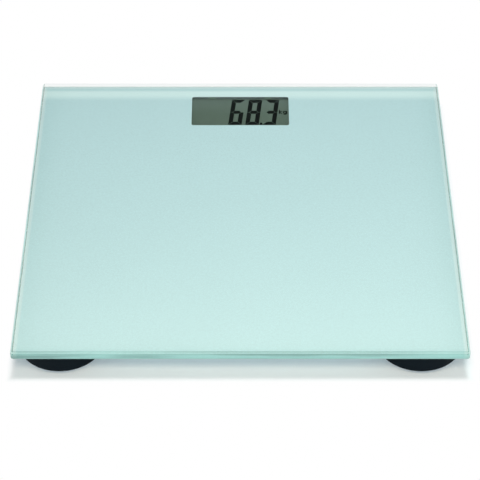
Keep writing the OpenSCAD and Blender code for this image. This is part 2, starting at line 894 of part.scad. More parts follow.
glass_platform();
back_coat();
housing_tape();
display_frame();
window_pads();
lcd_front_plate();
lcd_rear_plate();
lcd_reflector();
contact_strips();
circuit_board();
controller_chip();
board_components();
board_screws();
tact_switch();
switch_plunger();
unit_button();
coin_cell();
contact_plus();
contact_minus();
housing_cover();
cover_screws();
battery_door();
door_cushion();
wire_clips();
for (kind = WIRES) {
    leads(kind);
}
for (corner = CORNERS) {
    foot_tape(corner);
    foot_seat(corner);
    load_cell(corner);
    strain_gauge(corner);
    foot(corner);
    foot_pad(corner);
}
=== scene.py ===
"""Looks of a digital body-weight scale with a glass platform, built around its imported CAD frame."""
import math

import bmesh
import bpy
from bpy.props import FloatProperty, FloatVectorProperty, PointerProperty, StringProperty
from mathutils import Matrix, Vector


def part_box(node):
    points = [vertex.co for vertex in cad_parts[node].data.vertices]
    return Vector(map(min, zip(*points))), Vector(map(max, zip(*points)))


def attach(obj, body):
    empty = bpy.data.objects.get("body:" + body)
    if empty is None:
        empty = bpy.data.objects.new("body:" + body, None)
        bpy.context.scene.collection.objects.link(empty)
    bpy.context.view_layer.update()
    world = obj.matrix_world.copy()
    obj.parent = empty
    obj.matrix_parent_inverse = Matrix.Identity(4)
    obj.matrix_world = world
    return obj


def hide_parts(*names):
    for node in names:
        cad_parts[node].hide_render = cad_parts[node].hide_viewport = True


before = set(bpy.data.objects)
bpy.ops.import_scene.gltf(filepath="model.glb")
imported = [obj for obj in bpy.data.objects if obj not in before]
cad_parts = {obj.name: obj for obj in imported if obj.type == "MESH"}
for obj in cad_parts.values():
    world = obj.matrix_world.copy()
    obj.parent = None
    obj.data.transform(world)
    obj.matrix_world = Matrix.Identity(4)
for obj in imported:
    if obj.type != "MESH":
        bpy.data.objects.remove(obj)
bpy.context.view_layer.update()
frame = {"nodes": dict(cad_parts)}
NODES = frame["nodes"]

bl_info = {
    "name": "Glass Body Scale Looks",
    "version": (1, 0, 0),
    "blender": (4, 5, 0),
    "location": "3D View > Sidebar > Scale",
    "description": "Finishes and fine pieces of a digital body-weight scale with a glass platform",
    "category": "Object",
}

MM = 0.001
FEET = ("front_left", "front_right", "rear_left", "rear_right")
WHITE = (1, 1, 1, 1)

# Mesh making: joining distance, angles between faces, and steps of rounded corners and edges
WELD = 1e-6
FLAT = math.radians(0.8)
SHARP = math.radians(32)
BROAD = math.radians(60)
CORNER_STEPS = 10
EDGE_STEPS = 3
FACE_WEIGHT = 90

# Glass platform: its finishes by index, and the finish of each ring of its edge from below
FACE, EDGE, PAINT, ARRIS = range(4)
RING_FINISHES = (FACE,) * 3 + (EDGE,) * 5 + (ARRIS,) + (EDGE,) * 2
GLASS_IOR = 1.52
GRINDING_PASSES = (70, 70, 900)
GRINDING_SWEEPS = (16, 16, 230)
EDGE_CONTRAST, ARRIS_CONTRAST = 0.45, 0.08
BACK_WALL = (138.0 * MM, 138.8 * MM)

# Paint: a strip of painted light near the back edge, and a paler border of painted light along the
# platform's outline
PAINTED_LIGHT_RISE = (121.5 * MM, 130.0 * MM)
PAINTED_LIGHT_FALL = (132.5 * MM, 135.4 * MM)
PAINTED_LIGHT_REST = 0.2
# Border and rim: the paint is paler along the outline, as painted light.
PAINTED_BORDER_LIGHT, PAINTED_BORDER_SHARE = (2.6 * MM, 4.0 * MM), 0.25
PAINTED_RIM_LIGHT, PAINTED_RIM_SHARE = (0.9 * MM, 1.9 * MM), 0.55
PRINT_MESH = 9000
PRINT_GAP = 0.01 * MM

# Screen: segments of each digit, their slant and height, and the strokes of the unit's letters
SEGMENTS = {
    "0": "abcdef", "1": "bc", "2": "abdeg", "3": "abcdg", "4": "bcfg",
    "5": "acdfg", "6": "acdefg", "7": "abc", "8": "abcdefg", "9": "abcdfg",
}
SLANT = 0.097
INK_HEIGHT = 0.03 * MM
# The film fades paler towards the back edge of the screen: painted light.
FILM_PAINTED_LIGHT_FADE = (108 * MM, 126 * MM)
LETTER_HALF = 0.42 * MM
LETTER_OVERRUN = 0.6
BOWL_MIDDLE, BOWL_RADII, BOWL_STEPS = (31.8, 111.7), (1.1, 1.2), 12

# Roundings of edges
FOAM_ROUND = 0.2 * MM
LID_ROUND = 0.1 * MM
CAP_ROUND = 0.2 * MM
CAN_ROUND = 0.2 * MM
RUBBER_ROUND = 0.2 * MM
SEAL_ROUND = 0.35 * MM
MOULD_ROUND = 0.25 * MM
METAL_ROUND = 0.12 * MM

# Fixed colours of the pieces inside, each alone or as the two ends of a mix
REAR_GLASS = (0.20, 0.23, 0.20, 1), (0.24, 0.27, 0.24, 1)
CONTACT_STRIPES = (0.018, 0.018, 0.019, 1), (0.42, 0.40, 0.37, 1)
REFLECTOR = (0.62, 0.63, 0.62)
SWITCH_BLACK = (0.03, 0.03, 0.032)
PLUNGER_RED = (0.55, 0.12, 0.06)
BOARD_MASK = (0.010, 0.060, 0.028, 1), (0.016, 0.085, 0.038, 1)
BOARD_TRACKS = (0.05, 0.19, 0.07, 1)
CHIP_RESIN = (0.006, 0.006, 0.007, 1), (0.016, 0.016, 0.017, 1)
CERAMIC_AND_TIN = (0.22, 0.14, 0.085, 1), (0.62, 0.61, 0.58, 1)
CELL_CAN = (0.56, 0.56, 0.55, 1), (0.70, 0.70, 0.68, 1)
CONTACT_PLATING = (0.78, 0.60, 0.30)
SCREW_ZINC = (0.62, 0.63, 0.66)
CELL_STEEL = (0.58, 0.58, 0.57)
GAUGE_SEAL = (0.62, 0.62, 0.56, 1), (0.80, 0.79, 0.73, 1)
FLOOR_DUST = (0.075, 0.074, 0.070, 1)

# Stage: floor, the platform's outline on it beyond which it is white, lamps, room and camera
FLOOR_REACH = 8.0
OUTLINE_STRETCH, OUTLINE_SHIFT = (0.9743, 1, 1), (-0.00089, 0, 0)
OUTLINE_FADE = (137.6 * MM, 144.4 * MM)
KEY_PLACE, KEY_SIZE = (0.12, 0.05, 1.20), (0.28, 0.28)
FRONT_PLACE, FRONT_SIZE = (0.02, -0.36, 0.34), (0.6, 0.12)
DOWN = Vector((0, 0, -1))
BACKDROP_FADE = (0.42, 0.57)
HORIZON = (-0.02, 0.02)
CAMERA_PLACE = Vector((-0.0002, -1.04214, 0.89558))
CAMERA_TARGET = Vector((-0.0002, -0.02638, 0.016))
CAMERA_LENS, CAMERA_SENSOR = 152.152, 36.0
CAMERA_CLIP = (0.05, 50.0)


class Term:
    """A shader socket that Python's operators turn into Math nodes."""

    def __init__(self, finish, socket):
        self.finish = finish
        self.socket = socket

    def _math(self, operation, a, b):
        return self.finish.node("ShaderNodeMath", {"operation": operation}, {0: a, 1: b})

    def __add__(self, other):
        return self._math("ADD", self, other)

    def __sub__(self, other):
        return self._math("SUBTRACT", self, other)

    def __rsub__(self, other):
        return self._math("SUBTRACT", other, self)

    def __mul__(self, other):
        return self._math("MULTIPLY", self, other)

    def __gt__(self, other):
        return self._math("GREATER_THAN", self, other)

    def __lt__(self, other):
        return self._math("LESS_THAN", self, other)

    def __mod__(self, other):
        return self._math("FLOORED_MODULO", self, other)

    def __rmod__(self, other):
        return self._math("FLOORED_MODULO", other, self)

    __radd__ = __add__
    __rmul__ = __mul__


class NodeMaker:
    """Adds nodes to a tree of shader nodes."""

    def __init__(self, tree):
        self.tree = tree

    def node(self, kind, settings, inputs, output=0):
        """Adds a node: its settings first, then the values or links of its sockets."""
        made = self.tree.nodes.new(kind)
        for key, value in settings.items():
            setattr(made, key, value)
        for key, value in inputs.items():
            if isinstance(value, Term):
                self.tree.links.new(value.socket, made.inputs[key])
            else:
                made.inputs[key].default_value = value
        return Term(self, made.outputs[output])

    def axis(self, vector, name):
        return self.node("ShaderNodeSeparateXYZ", {}, {0: vector}, name)

    def span(self, value, low, high, to_low=0.0, to_high=1.0):
        """Takes a value's range from low to high smoothly to another range."""
        return self.node(
            "ShaderNodeMapRange", {"interpolation_type": "SMOOTHSTEP"},
            {0: value, 1: low, 2: high, 3: to_low, 4: to_high},
        )

    def mix(self, factor, a, b):
        return self.node("ShaderNodeMix", {"data_type": "RGBA"}, {0: factor, 6: a, 7: b}, 2)

    def light_path(self, ray):
        return self.node("ShaderNodeLightPath", {}, {}, ray)


class Finish(NodeMaker):
    """A material in the making: its Principled shader and the nodes that vary it."""

    def __init__(self, name, constants):
        self.material = bpy.data.materials.new(name)
        self.material.use_nodes = True
        super().__init__(self.material.node_tree)
        self.shader = self.tree.nodes["Principled BSDF"]
        self.output = self.tree.nodes["Material Output"]
        for socket, value in constants.items():
            self.shader.inputs[socket].default_value = value

    def vary(self, **sockets):
        """Links terms to the shader's sockets, named with _ for a space."""
        for name, term in sockets.items():
            self.tree.links.new(term.socket, self.shader.inputs[name.replace("_", " ").title()])

    def place(self, stretch=(1, 1, 1), shift=(0, 0, 0)):
        """Places on the object in metres, stretched along the axes."""
        spot = self.node("ShaderNodeTexCoord", {}, {}, "Object")
        return self.node(
            "ShaderNodeVectorMath", {"operation": "MULTIPLY_ADD"}, {0: spot, 1: stretch, 2: shift}
        )

    def aside(self, place):
        """Distances of a place from the middle along the axes."""
        return self.node("ShaderNodeVectorMath", {"operation": "ABSOLUTE"}, {0: place})

    def noise(self, scale, detail, vector=None):
        return self.node(
            "ShaderNodeTexNoise", {},
            {"Vector": vector or self.place(), "Scale": scale, "Detail": detail}, "Fac",
        )

    def cells(self, scale):
        return self.node(
            "ShaderNodeTexVoronoi", {}, {"Vector": self.place(), "Scale": scale}, "Distance"
        )

    def bump(self, height, distance, strength, normal=None):
        inputs = {"Height": height, "Distance": distance, "Strength": strength}
        if normal:
            inputs["Normal"] = normal
        return self.node("ShaderNodeBump", {}, inputs, "Normal")

    def soft_edges(self, radius):
        return self.node("ShaderNodeBevel", {"samples": 4}, {"Radius": radius}, "Normal")

    def surface(self):
        return Term(self, self.shader.outputs[0])

    def clear(self, tint=WHITE):
        return self.node("ShaderNodeBsdfTransparent", {}, {"Color": tint})

    def mix_shaders(self, factor, a, b):
        return self.node("ShaderNodeMixShader", {}, {0: factor, 1: a, 2: b})

    def show(self, surface):
        self.tree.links.new(surface.socket, self.output.inputs["Surface"])

    def let_light_in(self, tint, bare=None):
        """Lets light from lamps and surfaces straight through, and keeps the glass for what is seen.

        Where bare is one, what is seen goes straight through as well.
        """
        clear = self.clear(tint)
        shown = self.surface()
        if bare:
            shown = self.mix_shaders(bare, shown, self.clear())
        for ray in ("Is Shadow Ray", "Is Diffuse Ray"):
            shown = self.mix_shaders(self.light_path(ray), shown, clear)
        self.show(shown)


def rgba(shade, factor=1.0):
    return tuple(min(1.0, c * factor) for c in shade[:3]) + (1.0,)


def length(name, description, default):
    return FloatProperty(name=name, description=description, default=default, min=0, unit="LENGTH",
                         precision=5)


def colour(name, description, default):
    return FloatVectorProperty(name=name, description=description, default=default, size=3, min=0,
                               max=1, subtype="COLOR")


def share(name, description, default):
    return FloatProperty(name=name, description=description, default=default, min=0, max=1,
                         subtype="FACTOR")


def power(name, description, default):
    return FloatProperty(name=name, description=description, default=default, min=0, unit="POWER")


class PlatformSettings(bpy.types.PropertyGroup):
    """Glass platform and the paint behind it."""

    chamfer: length("Chamfer", "Chamfer along the glass edges", 1 * MM)
    corner: length("Corner radius", "Radius of the platform's corners", 1.5 * MM)
    arris: length("Arris", "Rounding between a chamfer and its neighbours", 0.25 * MM)
    window_w: length("Window width", "Width of the clear window in the paint", 69 * MM)
    window_d: length("Window depth", "Depth of the clear window in the paint", 33 * MM)
    window_r: length("Window radius", "Radius of the window's corners", 1.5 * MM)
    window_y: length("Window middle", "Distance of the window's middle behind the origin", 110.3 * MM)
    tint: colour("Glass tint", "Colour that light takes through the glass", (0.95, 0.99, 0.98))
    # The edge tint is partly the green of the glass and partly painted shade, which darkens the ground
    # walls.
    edge: colour("Edge tint", "Colour of the ground glass edges", (0.225, 0.42, 0.385))
    # The arris tint is partly the green of the glass and partly painted shade, darkened less than the
    # edge tint.
    arris_shaded_tint: colour("Arris tint", "Colour of the ground upper arris", (0.72, 0.86, 0.81))
    paint: colour("Paint", "Mint paint as it is seen through the glass", (0.575, 0.79, 0.835))
    # Lit paint is painted light: the paint is made paler in a strip near the back edge.
    strip_painted_light: colour("Lit paint", "Paint near the back edge, which lights it", (0.78, 0.97, 0.99))
    paint_back: colour("Paint back", "Back of the mint paint", (0.36, 0.46, 0.44))


class DisplaySettings(bpy.types.PropertyGroup):
    """Screen and its reading."""

    reading: StringProperty(name="Reading", description="Number on the screen", default="68.3")
    digit_w: length("Digit width", "Width of a digit", 9.55 * MM)
    digit_h: length("Digit height", "Height of a digit", 29.2 * MM)
    digit_step: length("Digit step", "From one digit to the next", 12.1 * MM)
    upright: length("Upright stroke", "Width of the upright segments", 3.1 * MM)
    level: length("Level stroke", "Width of the level segments", 3.5 * MM)
    gap: length("Segment gap", "Gap between two segments", 0.3 * MM)
    first_x: FloatProperty(name="First digit", description="Left edge of the first digit",
                           default=-8.65 * MM, unit="LENGTH")
    base_y: length("Base line", "Base line of the digits", 97.1 * MM)
    film: colour("Film", "Grey-green film on the screen", (0.115, 0.159, 0.126))
    # The film at the back is painted light: the film is made paler there.
    film_back_painted_light: colour("Film at the back", "Film at the back edge of the screen", (0.170, 0.220, 0.195))
    ink: colour("Dark segments", "Segments that are switched on", (0.004, 0.005, 0.0045))


class PlasticSettings(bpy.types.PropertyGroup):
    """Moulded pieces, rubber and foam."""

    charcoal: colour("Charcoal", "Cover and battery door of the display housing", (0.075, 0.090, 0.092))
    frame: colour("Frame", "Frame round the display", (0.20, 0.25, 0.265))
    black: colour("Black", "Feet and their seats", (0.0028, 0.0068, 0.0105))
    rubber: colour("Rubber", "Pads under the feet", (0.020, 0.021, 0.022))
    button: colour("Button", "Unit button", (0.30, 0.32, 0.33))
    foam: colour("Foam", "Bonding tapes", (0.62, 0.63, 0.62))
    pads: colour("Pads", "Foam pads at the window and on the battery door", (0.25, 0.35, 0.30))
    nylon: colour("Nylon", "Clips of the leads", (0.80, 0.80, 0.77))


class WiringSettings(bpy.types.PropertyGroup):
    """Insulation of the leads."""

    red: colour("Red", "Red leads", (0.55, 0.025, 0.020))
    white: colour("White", "White leads", (0.78, 0.77, 0.73))
    black: colour("Black", "Black leads", (0.015, 0.015, 0.016))


class StageSettings(bpy.types.PropertyGroup):
    """Floor, lamps and the room's light."""

    floor: colour("Floor", "Pale sheet that the scale stands on", (0.90, 0.97, 1.0))
    glow: share("Floor glow", "Share of light from below that the sheet lets through", 0.32)
    sky: colour("Room", "Light of the room high above the floor", (0.045, 0.055, 0.055))
    sweep: colour("Backdrop", "Light of the pale backdrop low around the floor", (1.0, 1.0, 1.0))
    below: colour("Light table", "Light below the floor", (0.84, 0.95, 1.0))
    key: power("Key lamp", "Power of the lamp overhead", 8.55)
    key_tint: colour("Key tint", "Colour of the lamp overhead", (0.995, 1.0, 0.98))
    front: power("Front lamp", "Power of the lamp in front", 1.37)
    front_tint: colour("Front tint", "Colour of the lamp in front", (1.0, 0.84, 0.66))


GROUPS = {
    "scale_platform": PlatformSettings,
    "scale_display": DisplaySettings,
    "scale_plastics": PlasticSettings,
    "scale_wiring": WiringSettings,
    "scale_stage": StageSettings,
}


def node_object(name):
    if name not in NODES:
        raise RuntimeError(f"the packed frame has no node {name}")
    return NODES[name]


def dress(finish, *names):
    """Gives CAD nodes a finish."""
    for name in names:
        materials = node_object(name).data.materials
        materials.clear()
        materials.append(finish.material)


def add_object(name, mesh, finishes):
    """Makes an object from a bmesh."""
    data = bpy.data.meshes.new(name)
    mesh.to_mesh(data)
    mesh.free()
    for finish in finishes:
        data.materials.append(finish.material)
    made = bpy.data.objects.new(name, data)
    bpy.context.scene.collection.objects.link(made)
    return made


def add_piece(name, mesh, finishes, body, slot, *replaced):
    """Makes a piece from a bmesh, on a CAD body."""
    made = add_object(name, mesh, finishes)
    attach(made, body)
    if replaced:
        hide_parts(*replaced)
    return made


def smooth(mesh, angle):
    """Smooths faces and keeps edges sharper than the angle."""
    for face in mesh.faces:
        face.smooth = True
    for edge in mesh.edges:
        if len(edge.link_faces) == 2:
            edge.smooth = edge.calc_face_angle() < angle


def rounded_loop(mesh, half_w, half_d, radius, z, y=0.0):
    """Corners of a rounded rectangle, anticlockwise from its right side."""
    loop = []
    for quarter in range(4):
        x_side = 1 if quarter in (0, 3) else -1
        y_side = 1 if quarter in (0, 1) else -1
        for step in range(CORNER_STEPS + 1):
            angle = (quarter + step / CORNER_STEPS) * math.pi / 2
            loop.append(mesh.verts.new((
                x_side * (half_w - radius) + radius * math.cos(angle),
                y + y_side * (half_d - radius) + radius * math.sin(angle),
                z,
            )))
    return loop


def window_loop(mesh, s, z):
    """Outline of the clear window in the paint."""
    return rounded_loop(mesh, s.window_w / 2, s.window_d / 2, s.window_r, z, s.window_y)


def bridge(mesh, lower, upper, index=0):
    """Faces between two loops with the same number of corners."""
    count = len(lower)
    for i in range(count):
        face = mesh.faces.new((lower[i], lower[(i + 1) % count], upper[(i + 1) % count], upper[i]))
        face.material_index = index


def rounded_corner(before, corner, after, cut):
    """Three places along a curve that takes off a corner of a profile."""
    start = corner + (before - corner).normalized() * cut
    end = corner + (after - corner).normalized() * cut
    return [start, (start + 2 * corner + end) / 4, end]


def weigh_normals(piece):
    """Keeps large faces flat in shading where small rounded faces meet them."""
    weights = piece.modifiers.new("face_weights", "WEIGHTED_NORMAL")
    weights.mode = "FACE_AREA"
    weights.weight = FACE_WEIGHT
    weights.keep_sharp = True


def welded(name):
    """A copy of a CAD node with its faces joined."""
    mesh = bmesh.new()
    mesh.from_mesh(node_object(name).data)
    bmesh.ops.remove_doubles(mesh, verts=mesh.verts, dist=WELD)
    return mesh


def round_off(name, ending, finish, body, slot, radius):
    """Replaces a CAD node with a copy whose sharp edges are rounded."""
    mesh = welded(name)
    bmesh.ops.dissolve_limit(mesh, angle_limit=FLAT, verts=mesh.verts, edges=mesh.edges)
    sharp = [e for e in mesh.edges if e.calc_face_angle(0) > SHARP]
    bmesh.ops.bevel(mesh, geom=sharp, offset=radius, offset_type="OFFSET", segments=EDGE_STEPS,
                    profile=0.5, affect="EDGES", clamp_overlap=True)
    smooth(mesh, BROAD)
    piece = add_piece(f"{name}_{ending}", mesh, [finish], body, slot, name)
    weigh_normals(piece)
    return piece


def moulded(name, shade, roughness, grain=2600.0, gloss=0.5):
    """Moulded plastic: an eroded grain, faint flow marks and softened edges."""
    finish = Finish(name, {"IOR": 1.48, "Specular IOR Level": gloss})
    flow = finish.noise(scale=45, detail=3)
    fine = finish.noise(scale=grain, detail=2)
    rubbed = finish.noise(scale=160, detail=4)
    base = finish.mix(flow, rgba(shade, 0.82), rgba(shade, 1.2))
    finish.vary(
        base_color=finish.mix(finish.span(rubbed, 0.55, 0.8, 0, 0.35), base, rgba(shade, 1.7)),
        roughness=roughness - 0.07 + fine * 0.1 + flow * 0.06,
        normal=finish.bump(fine, 0.02 * MM, 0.6, finish.soft_edges(MOULD_ROUND)),
    )
    return finish


def metal(name, shade, roughness, stretch):
    """Metal with marks drawn along one direction."""
    finish = Finish(name, {"Metallic": 1.0})
    drawn = finish.noise(scale=1.0, detail=3, vector=finish.place(stretch))
    stain = finish.noise(scale=120, detail=3)
    finish.vary(
        base_color=finish.mix(stain, rgba(shade, 0.75), rgba(shade)),
        roughness=roughness - 0.1 + drawn * 0.2,
        normal=finish.bump(drawn, 0.01 * MM, 0.5, finish.soft_edges(METAL_ROUND)),
    )
    return finish


def foam(name, shade):
    """Closed-cell foam with small open cells."""
    finish = Finish(name, {"Specular IOR Level": 0.2})
    cells = finish.cells(scale=2600)
    cloud = finish.noise(scale=300, detail=2)
    pit = finish.span(cells, 0.1, 0.6)
    finish.vary(
        base_color=finish.mix(pit * 0.6 + cloud * 0.4, rgba(shade, 0.72), rgba(shade, 1.12)),
        roughness=0.8 + cells * 0.15,
        normal=finish.bump(cells, 0.06 * MM, 0.7),
    )
    return finish


class LooksOperator(bpy.types.Operator):
    """Builds one group of like pieces"""

    bl_options = {"REGISTER"}


class SCALE_OT_platform(LooksOperator):
    """Makes the glass platform with its chamfers, and the paint as it shows through the glass"""

    bl_idname = "scale_looks.platform"
    bl_label = "Glass Platform"

    def execute(self, context):
        s = context.scene.scale_platform
        low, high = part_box("glass_platform")
        half_w, half_d = (high.x - low.x) / 2, (high.y - low.y) / 2
        inside = 4 * s.chamfer
        corners = [Vector(p) for p in (
            (inside, low.z), (s.chamfer, low.z), (0, low.z + s.chamfer),
            (0, high.z - s.chamfer), (s.chamfer, high.z), (inside, high.z),
        )]
        profile = []
        for before, corner, after in zip(corners, corners[1:], corners[2:]):
            profile += rounded_corner(before, corner, after, s.arris)
        mesh = bmesh.new()
        loops = [
            rounded_loop(mesh, half_w - p.x, half_d - p.x, max(s.corner - p.x, s.corner / 2), p.y)
            for p in profile
        ]
        for finish, lower, upper in zip(RING_FINISHES, loops, loops[1:]):
            bridge(mesh, lower, upper, finish)
        mesh.faces.new(loops[-1])
        window = window_loop(mesh, s, low.z)
        bridge(mesh, loops[0], window, PAINT)
        mesh.faces.new(window)
        bmesh.ops.recalc_face_normals(mesh, faces=mesh.faces)
        smooth(mesh, BROAD)
        finishes = [
            self.face_glass(s),
            self.edge_glass("ground_glass_edge", s.edge, EDGE_CONTRAST),
            self.paint(s, high),
            self.edge_glass("ground_glass_arris", s.arris_shaded_tint, ARRIS_CONTRAST),
        ]
        weigh_normals(add_piece("glass_plate", mesh, finishes, "scale", "platform_glass",
                                "glass_platform"))
        return {"FINISHED"}

    def face_glass(self, s):
        finish = Finish("clear_float_glass", {
            "Base Color": rgba(s.tint), "Transmission Weight": 1.0, "IOR": GLASS_IOR,
        })
        wiped = finish.noise(scale=35, detail=4)
        finish.vary(roughness=0.004 + finish.span(wiped, 0.5, 0.8) * 0.02)
        finish.let_light_in(rgba(s.tint, 0.96))
        return finish

    def edge_glass(self, name, tint, contrast):
        """Ground glass with long sweeps of the grinding wheel, in a tint that is partly painted shade.
        """
        finish = Finish(name, {"Transmission Weight": 1.0, "IOR": GLASS_IOR})
        passes = finish.noise(scale=1.0, detail=3, vector=finish.place(GRINDING_PASSES))
        sweeps = finish.noise(scale=1.0, detail=2, vector=finish.place(GRINDING_SWEEPS))
        ground = finish.mix(finish.span(sweeps, 0.35, 0.68), rgba(tint, 1 - contrast),
                            rgba(tint, 1 + contrast))
        inside = finish.node("ShaderNodeNewGeometry", {}, {}, "Backfacing")
        finish.vary(base_color=finish.mix(inside, ground, WHITE), roughness=0.03 + passes * 0.06)
        at_back = finish.span(finish.axis(finish.place(), "Y"), *BACK_WALL)
        finish.let_light_in(rgba(tint), at_back * inside)
        return finish

    def paint(self, s, high):
        """Mint paint with a fine grain, a strip of painted light at the back and a paler border of
        painted light along the outline.
        """
        finish = Finish("mint_paint_behind_glass", {"Specular IOR Level": 0.0, "Roughness": 0.7})
        grain = finish.noise(scale=700, detail=3)
        cloud = finish.noise(scale=14, detail=2)
        plain = finish.mix(grain * 0.85 + cloud * 0.15, rgba(s.paint, 0.90), rgba(s.paint, 1.09))
        spot = finish.place()
        y = finish.axis(spot, "Y")
        # A strip near the back edge is made paler: painted light.
        painted_light = finish.span(y, *PAINTED_LIGHT_RISE) * finish.span(y, *PAINTED_LIGHT_FALL, 1, PAINTED_LIGHT_REST)
        aside = finish.aside(spot)
        inset = finish.node("ShaderNodeMath", {"operation": "MINIMUM"}, {
            0: high.x - finish.axis(aside, "X"), 1: high.y - finish.axis(aside, "Y"),
        })
        # Paler border and rim along the outline: painted light.
        pale = finish.span(inset, *PAINTED_BORDER_LIGHT, PAINTED_BORDER_SHARE, 0) + finish.span(inset, *PAINTED_RIM_LIGHT, PAINTED_RIM_SHARE, 0)
        shade = finish.mix(painted_light, plain, rgba(s.strip_painted_light))
        finish.vary(base_color=finish.mix(pale, shade, WHITE))
        return finish


class SCALE_OT_coat(LooksOperator):
    """Makes the back of the printed paint, which shows under the platform"""

    bl_idname = "scale_looks.coat"
    bl_label = "Paint Coat"

    def execute(self, context):
        s = context.scene.scale_platform
        low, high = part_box("back_coat")
        half_w, half_d = (high.x - low.x) / 2, (high.y - low.y) / 2
        levels = (low.z, high.z - PRINT_GAP)
        mesh = bmesh.new()
        outer = [rounded_loop(mesh, half_w, half_d, s.corner - s.chamfer, z) for z in levels]
        inner = [window_loop(mesh, s, z) for z in levels]
        for lower, upper in (outer, inner, (outer[0], inner[0]), (outer[1], inner[1])):
            bridge(mesh, lower, upper)
        bmesh.ops.recalc_face_normals(mesh, faces=mesh.faces)
        smooth(mesh, SHARP)
        add_piece("paint_coat", mesh, [self.print_back(s)], "scale", "mint_coat", "back_coat")
        return {"FINISHED"}

    def print_back(self, s):
        """Back of the paint with the mesh of the printing screen and a few pinholes."""
        finish = Finish("printed_paint_back", {"IOR": 1.45})
        place = finish.place()
        mesh_x, mesh_y = (
            finish.node("ShaderNodeMath", {"operation": "SINE"},
                        {0: finish.axis(place, name) * PRINT_MESH})
            for name in "XY"
        )
        cloud = finish.noise(scale=18, detail=4)
        speck = finish.span(finish.cells(scale=420), 0.03, 0.07, 1, 0)
        base = finish.mix(cloud, rgba(s.paint_back, 0.9), rgba(s.paint_back, 1.1))
        finish.vary(
            base_color=finish.mix(speck * 0.25, base, rgba(s.paint_back, 0.55)),
            roughness=0.42 + cloud * 0.14,
            normal=finish.bump(mesh_x * mesh_y * 0.3 + cloud, 0.03 * MM, 0.5),
        )
        return finish


class SCALE_OT_tapes(LooksOperator):
    """Finishes the foam tapes, the pads at the window and the cushion on the battery door"""

    bl_idname = "scale_looks.tapes"
    bl_label = "Tapes and Foam"

    def execute(self, context):
        s = context.scene.scale_plastics
        white = foam("white_foam_tape", s.foam)
        grey = foam("grey_green_foam", s.pads)
        rows = [
            ("housing_tape", white, "scale", "foam_tape"),
            ("window_pads", grey, "scale", "pale_foam"),
            ("door_cushion", grey, "battery_door", "pale_foam"),
        ]
        rows += [("foot_tape_" + f, white, "scale", "foam_tape") for f in FEET]
        for name, finish, body, slot in rows:
            round_off(name, "foam", finish, body, slot, FOAM_ROUND)
        return {"FINISHED"}


